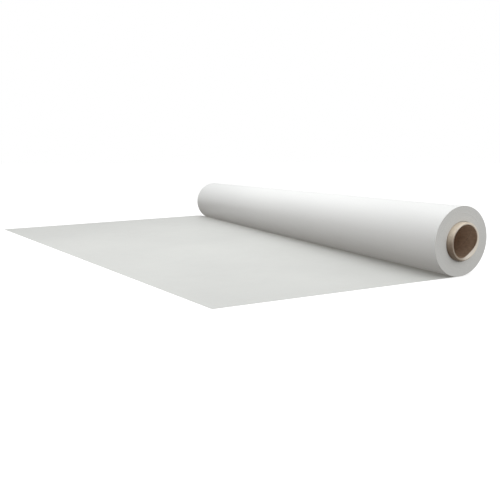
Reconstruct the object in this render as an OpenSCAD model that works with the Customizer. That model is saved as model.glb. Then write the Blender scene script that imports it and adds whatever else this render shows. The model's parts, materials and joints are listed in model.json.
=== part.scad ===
// A roll of self-adhesive sign vinyl on a paperboard core. A short run of the web is
// rolled out flat to one side. The roll lies along Y on the surface z = 0 and the web
// runs out towards -X, with its release liner up and its face film down, as the outside
// of the roll is face film. The origin is the middle of the base.

/* [Web] */
// Width of the web, which is the length of the roll's face
web_width = 1370; // [300:10:1600]
// Length of web laid out on the surface along the -Y edge
laid_length = 590; // [200:10:900]
// How much further the laid web reaches along the +Y edge: 0 is a square cut
free_edge_skew = 260; // [0:5:400]
// Thickness of the vinyl face film
film_t = 0.08; // [0.05:0.01:0.3]
// Thickness of the pressure-sensitive adhesive
adhesive_t = 0.025; // [0.015:0.005:0.06]
// Thickness of the release liner
liner_t = 0.155; // [0.08:0.005:0.3]

/* [Roll] */
// Diameter over the last turn
roll_od = 156; // [110:1:200]
// Clearance between the end of the last turn and the web that leaves the roll below it
last_turn_clearance = 0.925; // [0.3:0.025:3]

/* [Core] */
// Bore of the paperboard core
core_bore_d = 76.2; // [50:0.1:80]
// Thickness of the liner ply, the smooth strip that forms the bore
core_liner_ply_t = 0.6; // [0.3:0.1:1.2]
// Thickness of the body plies together
core_body_t = 3.6; // [2:0.1:8]
// Thickness of the cover ply, the strip that forms the outside
core_cover_ply_t = 0.6; // [0.3:0.1:1.2]
// How far the core stands out of the wound web at each end
core_overhang = 13; // [4:0.5:30]
// Chamfer on the outer edge of each end of the core
core_outer_chamfer = 1.6; // [0.2:0.1:3]
// Chamfer on the edge of the bore at each end
core_bore_chamfer = 2.6; // [0.2:0.1:3]

/* [Start tape] */
// Width of the tape that holds the start of the web to the core
tape_w = 25; // [10:1:50]
// Thickness of the tape
tape_t = 0.15; // [0.1:0.01:0.3]

/* [Nip] */
// Length of web that travels with the roll, between it and the laid web
nip_length = 40; // [25:1:100]

/* [Hidden] */
$fn = 180;
// Tools cut this far past a face
past = 1;
// The widest angle of one flat of the tape, which is folded round the core in flats
widest_tape_flat = 4.2;
web_t = film_t + adhesive_t + liner_t;

// Radii, from the bore outwards
bore_r = core_bore_d / 2;
liner_ply_r = bore_r + core_liner_ply_t;
body_plies_r = liner_ply_r + core_body_t;
core_r = body_plies_r + core_cover_ply_t;
roll_r = roll_od / 2;
film_in_r = roll_r - film_t;
adhesive_in_r = film_in_r - adhesive_t;
wound_r = roll_r - web_t;

// The chamfers at one end of the core together take at most this share of its wall
chamfer_share = 0.9;
chamfer_scale = min(1, chamfer_share * (core_r - bore_r) / (core_outer_chamfer + core_bore_chamfer));
outer_chamfer = core_outer_chamfer * chamfer_scale;
bore_chamfer = core_bore_chamfer * chamfer_scale;

// Heights in the laid web: film below, liner on top
adhesive_z = film_t;
liner_z = film_t + adhesive_t;

core_length = web_width + 2 * core_overhang;
tape_angle = tape_w / core_r * 180 / PI;
tape_flats = ceil(tape_angle / widest_tape_flat);
// Angle of the last turn, counted from where the web leaves the roll
last_turn_angle = 360 - acos(1 - (web_t + last_turn_clearance) / roll_r);
// The roll's axis, placed so that the origin is the middle of the base
axis_x = (laid_length + free_edge_skew - roll_r) / 2;

// A round solid of the given length along Y, centred on the roll's axis
module on_axis(length) {
    translate([axis_x, 0, roll_r])
        rotate([90, 0, 0])
            translate([0, 0, -length / 2])
                children();
}

module tube(outer_r, inner_r, length) {
    on_axis(length)
        difference() {
            cylinder(r = outer_r, h = length);
            translate([0, 0, -past])
                cylinder(r = inner_r, h = length + 2 * past);
        }
}

// The core's wall, cut along the axis, with both edges of each end chamfered
module core_wall() {
    half = core_length / 2;
    polygon([
        [bore_r, bore_chamfer - half],
        [bore_r + bore_chamfer, -half],
        [core_r - outer_chamfer, -half],
        [core_r, outer_chamfer - half],
        [core_r, half - outer_chamfer],
        [core_r - outer_chamfer, half],
        [bore_r + bore_chamfer, half],
        [bore_r, half - bore_chamfer]
    ]);
}

// The part of the core's wall between two radii
module core_ply(outer_r, inner_r) {
    on_axis(0)
        rotate_extrude()
            intersection() {
                core_wall();
                translate([inner_r, -core_length / 2])
                    square([outer_r - inner_r, core_length]);
            }
}

function on_circle(r, angle) = [r * cos(angle), r * sin(angle)];

// Turns a shape that stands on the XY plane so that its height runs along the roll's axis
// and its X axis points straight down. Angles in it rise on the +X side.
module round_the_axis(length) {
    translate([axis_x, length / 2, roll_r])
        rotate([90, 90, 0])
            children();
}

// A thin part ring round the roll's axis, swept from straight down
module part_ring(outer_r, inner_r, sweep, length) {
    round_the_axis(length)
        rotate_extrude(angle = sweep)
            translate([inner_r, 0])
                square([outer_r - inner_r, length]);
}

// One layer of the web under the roll, up to the line where it leaves the surface
module nip_layer(z, t) {
    translate([axis_x - nip_length, -web_width / 2, z])
        cube([nip_length, web_width, t]);
}

// One layer of the laid web, with its free edge cut askew
module laid_layer(z, t) {
    start_x = axis_x - nip_length;
    end_x = axis_x - laid_length;
    half_w = web_width / 2;
    translate([0, 0, z])
        linear_extrude(t)
            polygon([
                [start_x, -half_w],
                [start_x, half_w],
                [end_x - free_edge_skew, half_w],
                [end_x, -half_w]
            ]);
}

module core_liner_ply() {
    color("#8a6f57")
        core_ply(liner_ply_r, bore_r);
}

module core_body_plies() {
    color("#b89b78")
        core_ply(body_plies_r, liner_ply_r);
}

module core_cover_ply() {
    color("#d9c4a2")
        core_ply(core_r, body_plies_r);
}

// The tape lies on the core, under the first turn. It is folded round the core in flats
// that touch the core at their middles.
module start_tape() {
    flat_angle = tape_angle / tape_flats;
    fold_r = core_r / cos(flat_angle / 2);
    color("#e8e2c8")
        round_the_axis(web_width)
            linear_extrude(web_width)
                polygon(concat(
                    [for (i = [0:tape_flats]) on_circle(core_r + tape_t, i * flat_angle)],
                    [for (i = [tape_flats:-1:0]) on_circle(fold_r, i * flat_angle)]
                ));
}

module wound_web() {
    color("#e9ebe8")
        difference() {
            tube(wound_r, core_r, web_width);
            part_ring(core_r + tape_t, core_r - past, tape_angle, web_width + 2 * past);
        }
}

module last_turn_liner() {
    color("#dfe2dc")
        part_ring(adhesive_in_r, wound_r, last_turn_angle, web_width);
}

module last_turn_adhesive() {
    color("#f2f0e6")
        part_ring(film_in_r, adhesive_in_r, last_turn_angle, web_width);
}

module last_turn_film() {
    color("#f4f5f4")
        part_ring(roll_r, film_in_r, last_turn_angle, web_width);
}

module nip_liner() {
    color("#dfe2dc")
        nip_layer(liner_z, liner_t);
}

module nip_adhesive() {
    color("#f2f0e6")
        nip_layer(adhesive_z, adhesive_t);
}

module nip_film() {
    color("#f4f5f4")
        nip_layer(0, film_t);
}

module laid_liner() {
    color("#dfe2dc")
        laid_layer(liner_z, liner_t);
}

module laid_adhesive() {
    color("#f2f0e6")
        laid_layer(adhesive_z, adhesive_t);
}

module laid_film() {
    color("#f4f5f4")
        laid_layer(0, film_t);
}

core_liner_ply();
core_body_plies();
core_cover_ply();
start_tape();
wound_web();
last_turn_liner();
last_turn_adhesive();
last_turn_film();
nip_liner();
nip_adhesive();
nip_film();
laid_liner();
laid_adhesive();
laid_film();
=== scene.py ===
import json
import math
import random

import bpy
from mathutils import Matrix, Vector


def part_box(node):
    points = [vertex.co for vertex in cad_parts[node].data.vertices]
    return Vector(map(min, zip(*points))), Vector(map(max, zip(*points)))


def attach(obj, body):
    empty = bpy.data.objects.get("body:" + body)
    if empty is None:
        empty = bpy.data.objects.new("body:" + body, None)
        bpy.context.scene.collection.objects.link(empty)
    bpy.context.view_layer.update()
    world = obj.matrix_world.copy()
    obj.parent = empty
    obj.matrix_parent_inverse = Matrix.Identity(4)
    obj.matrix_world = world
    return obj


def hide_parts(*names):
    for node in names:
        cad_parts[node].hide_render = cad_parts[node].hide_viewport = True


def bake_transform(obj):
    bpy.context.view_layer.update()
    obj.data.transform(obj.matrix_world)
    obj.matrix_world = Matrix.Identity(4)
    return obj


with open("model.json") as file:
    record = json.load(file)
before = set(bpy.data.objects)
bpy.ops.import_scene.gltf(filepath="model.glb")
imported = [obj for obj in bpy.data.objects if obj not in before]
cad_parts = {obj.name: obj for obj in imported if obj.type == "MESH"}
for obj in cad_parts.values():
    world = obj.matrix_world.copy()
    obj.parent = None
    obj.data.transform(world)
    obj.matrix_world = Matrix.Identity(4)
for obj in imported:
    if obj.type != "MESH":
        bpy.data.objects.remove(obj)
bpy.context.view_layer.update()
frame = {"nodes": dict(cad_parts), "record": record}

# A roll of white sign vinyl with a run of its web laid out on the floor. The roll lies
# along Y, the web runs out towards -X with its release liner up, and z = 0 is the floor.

record = frame["record"]

# ---------------------------------------------------------------------------
# Sizes, read from the frame
# ---------------------------------------------------------------------------

bore = next(m for m in record["mounts"] if m["name"] == "core_bore")
AXIS_X = bore["pos_m"][0]
AXIS_Z = bore["pos_m"][2]
BORE_R = bore["dims"]["r_mm"] / 1000
ROLL_R = AXIS_Z                                # the roll lies on z = 0
FILM_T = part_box("laid_film")[1].z
ADHESIVE_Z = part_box("laid_adhesive")[0].z
LINER_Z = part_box("laid_liner")[0].z
WEB_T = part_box("laid_liner")[1].z
WEB_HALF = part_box("wound_web")[1].y
CORE_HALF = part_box("core_body_plies")[1].y
NIP_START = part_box("nip_film")[0].x            # the laid web ends and the nip starts here
FREE_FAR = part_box("laid_film")[0].x            # free edge at the +Y side


def free_near():
    """Where the free edge meets the -Y side of the laid web."""
    corners = [v.co for v in frame["nodes"]["laid_film"].data.vertices]
    return min(c.x for c in corners if c.y < 0)


def node_radii(node):
    """Smallest and largest distance from the roll's axis to a node's surface."""
    corners = [v.co for v in frame["nodes"][node].data.vertices]
    found = [math.hypot(c.x - AXIS_X, c.z - AXIS_Z) for c in corners]
    return min(found), max(found)


FREE_NEAR = free_near()
LINER_PLY_R = node_radii("core_body_plies")[0]
BODY_PLIES_R = node_radii("core_cover_ply")[0]
CORE_R = node_radii("core_cover_ply")[1]
# Each edge chamfer of the core runs across a whole outer or inner ply and into the body
OUTER_EDGE = CORE_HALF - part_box("core_cover_ply")[1].y + CORE_R - BODY_PLIES_R
BORE_EDGE = CORE_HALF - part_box("core_liner_ply")[1].y + LINER_PLY_R - BORE_R
FILM_IN_R = ROLL_R - FILM_T
ADHESIVE_IN_R = ROLL_R - LINER_Z
WOUND_R = ROLL_R - WEB_T

# ---------------------------------------------------------------------------
# Camera
# ---------------------------------------------------------------------------

SENSOR = 36                                    # millimetres
LENS = 39.15                                   # millimetres
CAMERA_YAW = 26.88                             # degrees from +Y towards +X
CAMERA_PITCH = 9.32                            # degrees down
CAMERA_OFFSET = Vector((-12.07, -19.52, 3.23))  # from the foot of the roll, in roll radii


def make_camera():
    data = bpy.data.cameras.new("camera")
    data.sensor_width = SENSOR
    data.lens = LENS
    data.clip_start = 0.01
    data.clip_end = 100
    camera = bpy.data.objects.new("camera", data)
    camera.location = Vector((AXIS_X, 0, 0)) + CAMERA_OFFSET * ROLL_R
    camera.rotation_euler = (math.radians(90 - CAMERA_PITCH), 0, math.radians(-CAMERA_YAW))
    bpy.context.scene.collection.objects.link(camera)
    bpy.context.scene.camera = camera


# ---------------------------------------------------------------------------
# Node materials
# ---------------------------------------------------------------------------

RAGGED = 0.3                                   # how far the edge of a facing side wanders


class Nodes:
    """A node tree under construction, with short calls for what materials and world share."""

    def __init__(self, tree):
        self.tree = tree

    def node(self, kind, **settings):
        made = self.tree.nodes.new(kind)
        for key, value in settings.items():
            setattr(made, key, value)
        return made

    def link(self, source, target):
        self.tree.links.new(source, target)

    def share(self, value, low, high):
        """Rises smoothly from 0 to 1 as the value goes from low to high."""
        made = self.node("ShaderNodeMapRange", interpolation_type="SMOOTHSTEP")
        made.inputs["From Min"].default_value = low
        made.inputs["From Max"].default_value = high
        self.link(value, made.inputs["Value"])
        return made.outputs["Result"]

    def mix(self, factor, a, b, blend="MIX"):
        made = self.node("ShaderNodeMix", data_type="RGBA", blend_type=blend)
        inputs = [made.inputs["Factor"], *[s for s in made.inputs if s.type == "RGBA"]]
        for socket, value in zip(inputs, (factor, a, b)):
            if isinstance(value, (int, float)):
                socket.default_value = value
            elif isinstance(value, tuple):
                socket.default_value = (*value, 1)
            else:
                self.link(value, socket)
        return next(s for s in made.outputs if s.type == "RGBA")


class Surface(Nodes):
    """A material under construction."""

    def __init__(self, name, roughness, specular=0.5, **sockets):
        self.material = bpy.data.materials.new(name)
        self.material.use_nodes = True
        super().__init__(self.material.node_tree)
        self.shader = self.tree.nodes["Principled BSDF"]
        self.shader.inputs["Roughness"].default_value = roughness
        self.shader.inputs["Specular IOR Level"].default_value = specular
        for socket, value in sockets.items():
            self.shader.inputs[socket.replace("_", " ")].default_value = value
        self.place = self.node("ShaderNodeTexCoord").outputs["Object"]

    def stretched(self, scale, offset=(0, 0, 0)):
        """Object coordinates, scaled on each axis."""
        mapping = self.node("ShaderNodeMapping")
        mapping.inputs["Location"].default_value = offset
        mapping.inputs["Scale"].default_value = scale
        self.link(self.place, mapping.inputs["Vector"])
        return mapping.outputs["Vector"]

    def noise(self, vector, scale, detail=3, roughness=0.5):
        made = self.node("ShaderNodeTexNoise")
        made.inputs["Scale"].default_value = scale
        made.inputs["Detail"].default_value = detail
        made.inputs["Roughness"].default_value = roughness
        self.link(vector, made.inputs["Vector"])
        return made.outputs["Fac"]

    def math(self, operation, a, b=0.0, c=0.0):
        made = self.node("ShaderNodeMath", operation=operation)
        for socket, value in zip(made.inputs, (a, b, c)):
            if isinstance(value, (int, float)):
                socket.default_value = value
            else:
                self.link(value, socket)
        return made.outputs[0]

    def ramp(self, value, stops):
        """A colour or grey from a value, through stops of (place, colour)."""
        made = self.node("ShaderNodeValToRGB")
        elements = made.color_ramp.elements
        while len(elements) < len(stops):
            elements.new(0.5)
        for element, (at, colour) in zip(elements, stops):
            element.position = at
            element.color = (*colour, 1)
        self.link(value, made.inputs["Fac"])
        return made.outputs["Color"]

    def colour(self, source):
        self.link(source, self.shader.inputs["Base Color"])

    def roughness(self, value, low, high):
        made = self.node("ShaderNodeMapRange")
        made.inputs["To Min"].default_value = low
        made.inputs["To Max"].default_value = high
        self.link(value, made.inputs["Value"])
        self.link(made.outputs["Result"], self.shader.inputs["Roughness"])

    def bump(self, *layers):
        """Stacks bumps of (height, distance in metres)."""
        below = None
        for height, distance in layers:
            made = self.node("ShaderNodeBump")
            made.inputs["Strength"].default_value = 1
            made.inputs["Distance"].default_value = distance
            self.link(height, made.inputs["Height"])
            if below:
                self.link(below, made.inputs["Normal"])
            below = made.outputs["Normal"]
        self.link(below, self.shader.inputs["Normal"])

    def radius(self):
        """Distance from the roll's axis, in metres."""
        centred = self.stretched((1, 0, 1), (-AXIS_X, 0, -AXIS_Z))
        made = self.node("ShaderNodeVectorMath", operation="LENGTH")
        self.link(centred, made.inputs[0])
        return made.outputs["Value"]

    def facing(self, degrees):
        """From -1 to 1: how far a point lies towards a direction round the roll's axis,
        counted from +X towards +Z, with a ragged edge."""
        outwards = self.node("ShaderNodeVectorMath", operation="NORMALIZE")
        self.link(self.stretched((1, 0, 1), (-AXIS_X, 0, -AXIS_Z)), outwards.inputs[0])
        along = self.node("ShaderNodeVectorMath", operation="DOT_PRODUCT")
        turn = math.radians(degrees)
        along.inputs[1].default_value = (math.cos(turn), 0, math.sin(turn))
        self.link(outwards.outputs["Vector"], along.inputs[0])
        ragged = self.math("MULTIPLY_ADD", self.noise(self.place, 90, 3), RAGGED, -RAGGED / 2)
        return self.math("ADD", along.outputs["Value"], ragged)

    def helix(self, turns_per_metre):
        """Rises from 0 to 1 across a strip wound round the axis at an angle."""
        split = self.node("ShaderNodeSeparateXYZ")
        self.link(self.stretched((1, 1, 1), (-AXIS_X, 0, -AXIS_Z)), split.inputs[0])
        angle = self.math("ARCTAN2", split.outputs["Z"], split.outputs["X"])
        around = self.math("MULTIPLY", angle, 1 / math.tau)
        along = self.math("MULTIPLY", split.outputs["Y"], turns_per_metre)
        return self.math("FRACT", self.math("ADD", around, along))


def face_film():
    """White calendered vinyl with a satin face."""
    s = Surface("face_film", 0.36, 0.5)
    cloud = s.noise(s.stretched((1, 0.4, 1)), 6, 4)
    s.colour(s.ramp(cloud, [(0.3, (0.828, 0.834, 0.832)), (0.7, (0.862, 0.867, 0.864))]))
    s.roughness(s.noise(s.place, 45, 4), 0.32, 0.42)
    bands = s.noise(s.stretched((0.02, 1, 0.02)), 28, 3)
    peel = s.noise(s.place, 700, 2)
    s.bump((bands, 0.00012), (peel, 0.000012))
    return s.material


def release_liner():
    """Clay-coated release paper, its plain back outwards."""
    s = Surface("release_liner", 0.42, 0.5)
    cloud = s.noise(s.place, 3.5, 4)
    fibre = s.noise(s.stretched((1, 2.6, 1)), 420, 3, 0.65)
    tone = s.ramp(cloud, [(0.3, (0.622, 0.629, 0.612)), (0.7, (0.663, 0.670, 0.650))])
    grain = s.ramp(fibre, [(0.3, (0.955, 0.955, 0.955)), (0.7, (1, 1, 1))])
    s.colour(s.mix(1.0, tone, grain, "MULTIPLY"))
    s.roughness(s.noise(s.place, 30, 4), 0.36, 0.50)
    s.bump((fibre, 0.00002), (s.noise(s.place, 9, 2), 0.0012))
    return s.material


def adhesive():
    """Acrylic adhesive, seen only as a hairline between the film and the liner."""
    s = Surface("adhesive", 0.3, 0.5)
    cloud = s.noise(s.place, 60, 2)
    s.colour(s.ramp(cloud, [(0.3, (0.74, 0.73, 0.68)), (0.7, (0.80, 0.79, 0.74))]))
    s.bump((s.noise(s.place, 900, 2), 0.00001))
    return s.material


EDGE_DUST = 0.10                               # how much of the dust's colour the slit edge takes


def wound_edge():
    """The slit edge of the wound web: fine rings, a little grey where turns part."""
    s = Surface("wound_edge", 0.45, 0.5, Anisotropic=0.7)
    tangent = s.node("ShaderNodeTangent", direction_type="RADIAL", axis="Y")
    s.link(tangent.outputs["Tangent"], s.shader.inputs["Tangent"])
    radius = s.radius()
    turn = s.math("FRACT", s.math("DIVIDE", radius, WEB_T))
    line = s.ramp(turn, [(0.0, (0.86, 0.86, 0.85)), (0.35, (1, 1, 1)), (0.9, (1, 1, 0.99))])
    rings = s.node("ShaderNodeCombineXYZ")
    s.link(radius, rings.inputs[0])
    bands = s.noise(rings.outputs[0], 900, 4, 0.7)
    tone = s.ramp(bands, [(0.3, (0.66, 0.66, 0.650)), (0.7, (0.74, 0.74, 0.732))])
    dust = s.noise(s.place, 160, 3)
    aged = s.mix(s.math("MULTIPLY", dust, EDGE_DUST), tone, (0.55, 0.53, 0.50))
    s.colour(s.mix(1.0, aged, line, "MULTIPLY"))
    s.bump((bands, 0.00018), (turn, 0.00002))
    return s.material


SEAM_SHARE = 0.012                             # share of a strip that its seam takes
SEAM_TONE = 0.45                               # the seam's tone, as a share of the dark fibre's
COVER_PAINTED_SHADE = 0.93                              # how much of the painted shade's colour the cover takes
COVER_PAINTED_SHADE_SPAN = (0.0, 0.95)                  # how far it has to face the side in painted shade


def paperboard(name, dark, light, roughness, turns_per_metre, seam_depth, painted_shade=None):
    """Spiral-wound paperboard: fibres along the strip and a hairline at the seam. The last
    argument gives (colour, direction in degrees) of a side darkened by painted shade."""
    s = Surface(name, roughness, 0.35)
    fibre = s.noise(s.stretched((1, 0.35, 1)), 260, 4, 0.65)
    blotch = s.noise(s.place, 22, 3)
    board = s.ramp(s.mix(0.4, fibre, blotch), [(0.32, dark), (0.68, light)])
    across = s.helix(turns_per_metre)
    seam = s.math("MULTIPLY", s.math("LESS_THAN", across, SEAM_SHARE), seam_depth)
    board = s.mix(seam, board, tuple(c * SEAM_TONE for c in dark))
    # Painted shade: the side that faces the given direction is darkened towards the given colour
    if painted_shade:
        colour, direction = painted_shade
        shade_amount = s.share(s.facing(direction), *COVER_PAINTED_SHADE_SPAN)
        board = s.mix(s.math("MULTIPLY", shade_amount, COVER_PAINTED_SHADE), board, colour)
    s.colour(board)
    s.roughness(blotch, roughness - 0.06, roughness + 0.08)
    groove = s.ramp(across, [(0.0, (0, 0, 0)), (SEAM_SHARE, (1, 1, 1))])
    s.bump((groove, 0.0001), (fibre, 0.00006))
    return s.material


WORN_OVER = 0.0022                             # how far the cover's colour is worn over the rim
RIM_PAINTED_SHADE = 0.85                                # how much of the painted shade's colour the rim takes
RIM_PAINTED_SHADE_SPAN = (0.05, 0.8)                    # how far it has to face the side in painted shade
RIM_PAINTED_SHADE_SIDE = 205                            # degrees from +X towards +Z: the side that takes the painted shade
RIM_FIBRE = 0.25                               # how much the fibres lighten the rim


def board_edge():
    """The worn end of the core: pale plies as fine rings, with the cover's colour rubbed over the
    outer ones, and painted shade darkening one side, to the left and a little low."""
    s = Surface("core_board", 0.55, 0.4)
    rings = s.node("ShaderNodeCombineXYZ")
    radius = s.radius()
    s.link(radius, rings.inputs[0])
    plies = s.noise(rings.outputs[0], 2600, 2, 0.6)
    fibre = s.noise(s.place, 700, 3)
    tone = s.ramp(plies, [(0.35, (0.78, 0.70, 0.60)), (0.65, (0.92, 0.86, 0.77))])
    pale = s.mix(s.math("MULTIPLY", fibre, RIM_FIBRE), tone, (0.97, 0.93, 0.87))
    rubbed = s.share(radius, BODY_PLIES_R - WORN_OVER, BODY_PLIES_R - WORN_OVER / 2)
    worn = s.mix(rubbed, pale, (0.86, 0.74, 0.60))
    # Painted shade: the rim is darkened on its left, slightly low side
    shaded_side = s.share(s.facing(RIM_PAINTED_SHADE_SIDE), *RIM_PAINTED_SHADE_SPAN)
    s.colour(s.mix(s.math("MULTIPLY", shaded_side, RIM_PAINTED_SHADE), worn, (0.30, 0.24, 0.18)))
    s.bump((plies, 0.00006), (fibre, 0.00004))
    return s.material


def tape():
    """Paper tape with a slight crepe."""
    s = Surface("tape", 0.6, 0.3)
    crepe = s.noise(s.stretched((1, 3, 1)), 500, 3)
    s.colour(s.ramp(crepe, [(0.3, (0.70, 0.64, 0.50)), (0.7, (0.78, 0.72, 0.58))]))
    s.bump((crepe, 0.00003))
    return s.material


materials = {
    "face_film": face_film(),
    "release_liner": release_liner(),
    "adhesive": adhesive(),
    "wound_edge": wound_edge(),
    "tape": tape(),
    "core_liner": paperboard("core_liner", (0.41, 0.29, 0.20), (0.69, 0.53, 0.41), 0.55, 6, 0.2),
    "core_board": board_edge(),
    "core_cover": paperboard(
        "core_cover", (0.90, 0.77, 0.62), (0.98, 0.88, 0.75), 0.42, 6, 0.4,
        # Painted shade: the pale cover darkens towards its lower left, 232 degrees from +X
        # towards +Z
        painted_shade=((0.20, 0.135, 0.09), 232),
    ),
}


# ---------------------------------------------------------------------------
# Meshes
# ---------------------------------------------------------------------------

AROUND = 288                                   # steps round the roll
LAST_TURN_ROWS = 40                            # rows along the last turn
SHARP_ANGLE = math.radians(28)


def finish_piece(name, points, faces, slot, replaced, body=None):
    mesh = bpy.data.meshes.new(name)
    mesh.from_pydata(points, [], faces)
    mesh.polygons.foreach_set("use_smooth", [True] * len(mesh.polygons))
    mesh.set_sharp_from_angle(angle=SHARP_ANGLE)
    mesh.materials.append(materials[slot])
    mesh.update()
    piece = bpy.data.objects.new(name, mesh)
    bpy.context.scene.collection.objects.link(piece)
    if body:
        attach(piece, body)
    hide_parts(replaced)
    return piece


def turned(profile, worn=None):
    """Points and faces of a closed ring: profile is a loop of (radius, y), turned round
    the roll's axis. worn(angle, radius, y) gives the radius and y that wear leaves."""
    points = []
    for i in range(AROUND):
        angle = math.tau * i / AROUND
        for radius, y in profile:
            r, along = worn(angle, radius, y) if worn else (radius, y)
            points.append((AXIS_X + r * math.cos(angle), along, AXIS_Z + r * math.sin(angle)))
    count = len(profile)
    faces = []
    for i in range(AROUND):
        here, after = i * count, (i + 1) % AROUND * count
        for j in range(count):
            k = (j + 1) % count
            faces.append((here + j, after + j, after + k, here + k))
    return points, faces


def tube_profile(outer, inner, half, rows):
    """The loop of a plain tube's wall, with its length split into rows."""
    ys = [-half + 2 * half * i / rows for i in range(rows + 1)]
    return [(outer, y) for y in ys] + [(inner, y) for y in reversed(ys)]


EDGE_STEPS = 8                                 # steps round each broken edge of the core
COLLAR_ROWS = 10                               # rows along the stretch that stands out
CRUSH_SQUASH = 0.0022                          # how far the near mouth is squashed sideways
CRUSH_DENT = 0.0048                            # depth of the dent in the near mouth
CRUSH_BEVEL = 0.0060                           # how far the dent presses the bore's edge in
CRUSH_SPREAD_WALL = 0.80                       # how much the dent thickens the wall
CRUSH_FADE = 1.5                               # powers by which the dent and its bevel fade
BEVEL_FADE = 3                                 # from the mouth to the web
CRUSH_ANGLE = math.radians(-58)                # where the dent is, from +X towards +Z
CRUSH_SPREAD = math.radians(50)


def core_reach(radius):
    """How far along the axis the wall of the core reaches at a radius: both edges are round."""
    into_outer = radius - (CORE_R - OUTER_EDGE)
    into_bore = BORE_R + BORE_EDGE - radius
    if into_outer > 0:
        return CORE_HALF - OUTER_EDGE + math.sqrt(max(0, OUTER_EDGE ** 2 - into_outer ** 2))
    if into_bore > 0:
        return CORE_HALF - BORE_EDGE + math.sqrt(max(0, BORE_EDGE ** 2 - into_bore ** 2))
    return CORE_HALF


def ply_radii(outer, inner):
    """Radii across the end of a ply, close together where the edges are round."""
    turns = [math.sin(math.pi / 2 * k / EDGE_STEPS) for k in range(EDGE_STEPS + 1)]
    radii = [CORE_R - OUTER_EDGE + OUTER_EDGE * t for t in turns]
    radii += [BORE_R + BORE_EDGE - BORE_EDGE * t for t in turns]
    return [inner, *sorted(r for r in radii if inner < r < outer), outer]


def crush(angle, radius, y):
    """Wear at the near mouth: squashed a little sideways, with a dent low on the +X side
    that bevels the wall. Nothing is crushed where the web holds the core round."""
    out = (-WEB_HALF - y) / (CORE_HALF - WEB_HALF)
    if out <= 0:
        return radius, y
    away = math.remainder(angle - CRUSH_ANGLE, math.tau) / CRUSH_SPREAD
    dent = math.exp(-away ** 2)
    squash = CRUSH_SQUASH * math.cos(angle) ** 2
    into_wall = (CORE_R - radius) / (CORE_R - BORE_R)
    thicker = 1 + CRUSH_SPREAD_WALL * into_wall
    inwards = (squash + CRUSH_DENT * dent * thicker) * out ** CRUSH_FADE
    return radius - inwards, y + CRUSH_BEVEL * dent * into_wall * out ** BEVEL_FADE


def make_core():
    """The three plies of the core, with rounded edges and the worn mouth."""
    parts = (
        ("core_liner_ply", LINER_PLY_R, BORE_R, "core_liner"),
        ("core_body_plies", BODY_PLIES_R, LINER_PLY_R, "core_board"),
        ("core_cover_ply", CORE_R, BODY_PLIES_R, "core_cover"),
    )
    for node, outer, inner, slot in parts:
        near = [(r, -core_reach(r)) for r in ply_radii(outer, inner)]
        far = [(r, core_reach(r)) for r in reversed(ply_radii(outer, inner))]
        collar = [i / COLLAR_ROWS for i in range(1, COLLAR_ROWS + 1)]
        outside = [(outer, near[-1][1] + (-WEB_HALF - near[-1][1]) * t) for t in collar]
        inside = [(inner, -WEB_HALF + (near[0][1] + WEB_HALF) * t) for t in collar[:-1]]
        profile = near + outside + far + [(inner, -WEB_HALF)] + inside
        points, faces = turned(profile, worn=crush)
        finish_piece(node.replace("core_", "board_"), points, faces, slot, node, "roll")


START_RECESS = 0.0028                          # how far the first turns stand in at the core
RECESSED_RINGS = 3
END_RINGS = 44
RING_DEPTH = 0.00035                           # the most that a ring of turns stands in


def make_wound_web():
    """The turns on the core. On the ends, groups of turns stand a little in or out."""
    rng = random.Random(7)
    ends = []
    for side in (-1, 1):
        row = []
        for i in range(END_RINGS + 1):
            radius = CORE_R + (WOUND_R - CORE_R) * i / END_RINGS
            depth = rng.uniform(0, RING_DEPTH) + (START_RECESS if i < RECESSED_RINGS else 0)
            row.append((radius, side * (WEB_HALF - depth)))
        ends.append(row)
    profile = ends[0] + ends[1][::-1]
    points, faces = turned(profile)
    finish_piece("wound_turns", points, faces, "wound_edge", "wound_web", "roll")


def make_last_turn():
    """The three layers of the last turn, as full rings."""
    layers = (
        ("outer_film", "last_turn_film", ROLL_R, FILM_IN_R, "face_film"),
        ("outer_adhesive", "last_turn_adhesive", FILM_IN_R, ADHESIVE_IN_R, "adhesive"),
        ("outer_liner", "last_turn_liner", ADHESIVE_IN_R, WOUND_R, "release_liner"),
    )
    for name, node, outer, inner, slot in layers:
        points, faces = turned(tube_profile(outer, inner, WEB_HALF, LAST_TURN_ROWS))
        finish_piece(name, points, faces, slot, node, "roll")


# ---------------------------------------------------------------------------
# The laid web
# ---------------------------------------------------------------------------

SWELL = 0.017                                  # height of the slack at the far side
SWELL_CREST = 0.085                            # how far before the roll's foot it is highest
CLEAR_SHARE = 0.85                             # share of the gap under the roll that it may fill
CLEAR_BEND = 4                                 # how sharply the web bends down under the roll
ALONG = 96                                     # steps of the laid web towards the roll
ACROSS = 96                                    # steps across the web
NIP_STEPS = 12
# Long, low ridges that run out from the roll: where across the web each starts, how far it
# wanders across per metre, and its height
COCKLES = (
    (0.52, -0.28, 0.0018),
    (0.20, -0.12, 0.0009),
    (0.78, -0.16, 0.0012),
)
COCKLE_HALF = 0.040                            # half the width of a ridge


def cockled(y, before, reach):
    """Height of the ridges at a point. They fade out at the roll and at the free edge."""
    total = 0.0
    for start, wander, height in COCKLES:
        middle = WEB_HALF * (2 * start - 1) + wander * before
        total += height * math.exp(-((y - middle) / COCKLE_HALF) ** 2)
    return total * math.sin(math.pi * min(1.0, max(0.0, before / reach)))


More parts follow.
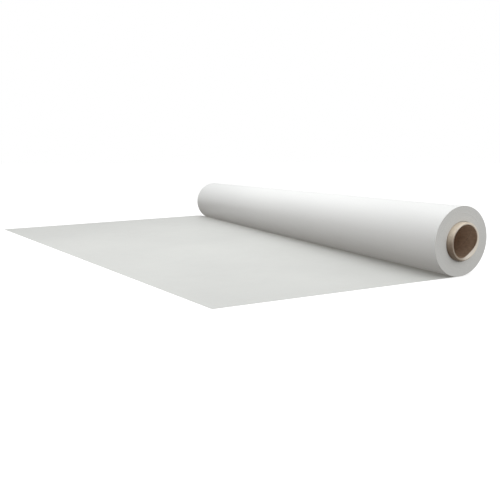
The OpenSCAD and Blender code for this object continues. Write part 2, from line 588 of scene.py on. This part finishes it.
def lift(x, y):
    """Height of the laid web off the floor: slack that grows towards +Y and the roll, and
    the ridges in it. Under the roll it bends down to stay clear."""
    v = (y + WEB_HALF) / (2 * WEB_HALF)
    free_x = FREE_NEAR + (FREE_FAR - FREE_NEAR) * v
    before = AXIS_X - x
    reach = AXIS_X - free_x
    rise = min(1.0, max(0.0, (reach - before) / (reach - SWELL_CREST)))
    height = SWELL * v * rise + cockled(y, before, reach)
    if height <= 0:
        return 0.0
    if before >= ROLL_R:
        return height
    gap = CLEAR_SHARE * (ROLL_R - math.sqrt(ROLL_R ** 2 - before ** 2))
    return height * gap / (height ** CLEAR_BEND + gap ** CLEAR_BEND) ** (1 / CLEAR_BEND)


def layer_mesh(columns, low, high):
    """A closed slab between low and high over a grid of (x, y) columns."""
    across = len(columns[0])
    count = len(columns) * across
    points = []
    for level in (low, high):
        for column in columns:
            points += [(x, y, lift(x, y) + level) for x, y in column]
    faces = []
    for i in range(len(columns) - 1):
        for j in range(across - 1):
            a = i * across + j
            quad = (a, a + across, a + across + 1, a + 1)
            faces.append(quad[::-1])
            faces.append(tuple(count + k for k in quad))
    rim = [i * across for i in range(len(columns))]
    rim += [(len(columns) - 1) * across + j for j in range(1, across)]
    rim += [i * across + across - 1 for i in reversed(range(len(columns) - 1))]
    rim += [j for j in reversed(range(1, across - 1))]
    for a, b in zip(rim, rim[1:] + rim[:1]):
        faces.append((a, b, count + b, count + a))
    return points, faces


def laid_columns():
    """From the free edge, which runs askew, to where the nip starts."""
    columns = []
    for i in range(ALONG + 1):
        column = []
        for j in range(ACROSS + 1):
            v = j / ACROSS
            free_x = FREE_NEAR + (FREE_FAR - FREE_NEAR) * v
            x = free_x + (NIP_START - free_x) * i / ALONG
            column.append((x, -WEB_HALF + 2 * WEB_HALF * v))
        columns.append(column)
    return columns


def nip_columns(top):
    """Up to where the roll's outside comes down to the top of the layer."""
    end = AXIS_X - math.sqrt(2 * ROLL_R * top - top ** 2)
    xs = [NIP_START + (end - NIP_START) * i / NIP_STEPS for i in range(NIP_STEPS + 1)]
    ys = [-WEB_HALF + 2 * WEB_HALF * j / ACROSS for j in range(ACROSS + 1)]
    return [[(x, y) for y in ys] for x in xs]


LAYERS = (
    ("film", 0.0, FILM_T, "face_film"),
    ("adhesive", ADHESIVE_Z, LINER_Z, "adhesive"),
    ("liner", LINER_Z, WEB_T, "release_liner"),
)


def dim_bounce(piece):
    """Stops a piece of the web from throwing diffuse light or a shadow on other pieces, so
    that the underside of the roll stays dark."""
    piece.visible_diffuse = False
    piece.visible_shadow = False


def make_web():
    """The three layers of the laid web, and of the nip that travels with the roll."""
    for name, low, high, slot in LAYERS:
        points, faces = layer_mesh(laid_columns(), low, high)
        laid = finish_piece("web_" + name, points, faces, slot, "laid_" + name)
        dim_bounce(laid)
        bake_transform(laid)
        points, faces = layer_mesh(nip_columns(high), low, high)
        foot = finish_piece("foot_" + name, points, faces, slot, "nip_" + name, "nip")
        dim_bounce(foot)


# ---------------------------------------------------------------------------
# Floor and light
# ---------------------------------------------------------------------------

FLOOR_DROP = 0.0004                            # keeps the floor off the web's underside
FLOOR_HALF = 40                                # metres from the middle to a side
FLOOR_TONE = (0.45, 0.45, 0.45)
FLOOR_GLOW = 0.75
DOME_TOP = (0.66, 0.665, 0.66)
DOME_BACK = (0.75, 0.745, 0.73)
DOME_FRONT = (0.41, 0.405, 0.39)
GROUND_FRONT = (0.66, 0.66, 0.65)
GROUND = (0.205, 0.190, 0.170)
# Where one tone of the dome gives way to the next, as a part of a direction of length 1
DOME_SPAN = (-0.9, 0.9)                        # along Y, from the front to the back
TOP_SPAN = (0.0, 0.55)                         # along Z, from the sides to the top
GROUND_SPAN = (-0.9, -0.3)                     # along Y, below the horizon
HORIZON_SPAN = (-0.06, 0.06)                   # along Z, from the ground to the dome
TOP_PLACE = (-0.28, -0.03, 1.55)               # from the middle of the roll
TOP_SIZE = (0.6, 2.7)                          # metres, as are the places
TOP_POWER = 18.6                               # watts
KEY_PLACE = (0.25, -1.3, 0.8)                  # from the near end of the roll
KEY_SIZE = (1.0, 1.0)
KEY_POWER = 5.0


def make_floor():
    """A white floor that only the camera sees, so that it throws no light up at the roll."""
    corners = [(-1, -1), (1, -1), (1, 1), (-1, 1)]
    points = [(x * FLOOR_HALF, y * FLOOR_HALF, -FLOOR_DROP) for x, y in corners]
    mesh = bpy.data.meshes.new("floor")
    mesh.from_pydata(points, [], [(0, 1, 2, 3)])
    floor = bpy.data.objects.new("floor", mesh)
    bpy.context.scene.collection.objects.link(floor)
    floor.visible_diffuse = False
    floor.visible_glossy = False
    floor.visible_shadow = False
    material = bpy.data.materials.new("floor")
    material.use_nodes = True
    shader = material.node_tree.nodes["Principled BSDF"]
    shader.inputs["Base Color"].default_value = (*FLOOR_TONE, 1)
    shader.inputs["Roughness"].default_value = 1.0
    shader.inputs["Specular IOR Level"].default_value = 0.0
    shader.inputs["Emission Color"].default_value = (1, 1, 1, 1)
    shader.inputs["Emission Strength"].default_value = FLOOR_GLOW
    mesh.materials.append(material)


def make_dome():
    """A soft dome, brighter behind the roll than in front. Below the horizon it is dim and
    warm, except in front of the near end. The camera itself sees plain white."""
    world = bpy.data.worlds.new("studio")
    bpy.context.scene.world = world
    world.use_nodes = True
    n = Nodes(world.node_tree)
    split = n.node("ShaderNodeSeparateXYZ")
    n.link(n.node("ShaderNodeTexCoord").outputs["Generated"], split.inputs[0])
    sides = n.mix(n.share(split.outputs["Y"], *DOME_SPAN), DOME_FRONT, DOME_BACK)
    dome = n.mix(n.share(split.outputs["Z"], *TOP_SPAN), sides, DOME_TOP)
    ground = n.mix(n.share(split.outputs["Y"], *GROUND_SPAN), GROUND_FRONT, GROUND)
    whole = n.mix(n.share(split.outputs["Z"], *HORIZON_SPAN), ground, dome)
    seen = n.node("ShaderNodeLightPath").outputs["Is Camera Ray"]
    background = n.tree.nodes["Background"]
    n.link(n.mix(seen, whole, (1.0, 1.0, 1.0)), background.inputs["Color"])
    background.inputs["Strength"].default_value = 1.0


def add_softbox(name, aim, place, size, power):
    """A soft light at a place counted from the point that it is turned towards."""
    data = bpy.data.lights.new(name, "AREA")
    data.shape = "RECTANGLE"
    data.size, data.size_y = size
    data.energy = power
    lamp = bpy.data.objects.new(name, data)
    lamp.location = aim + Vector(place)
    lamp.rotation_euler = (-Vector(place)).to_track_quat("-Z", "Y").to_euler()
    bpy.context.scene.collection.objects.link(lamp)


def make_softboxes():
    middle = Vector((AXIS_X, 0, AXIS_Z))
    near_end = Vector((AXIS_X, -WEB_HALF, AXIS_Z))
    add_softbox("overhead", middle, TOP_PLACE, TOP_SIZE, TOP_POWER)
    add_softbox("key", near_end, KEY_PLACE, KEY_SIZE, KEY_POWER)


make_camera()
make_core()
make_wound_web()
make_last_turn()
make_web()
frame["nodes"]["start_tape"].data.materials.clear()
frame["nodes"]["start_tape"].data.materials.append(materials["tape"])
make_floor()
make_dome()
make_softboxes()
bpy.context.scene.view_settings.view_transform = "Standard"
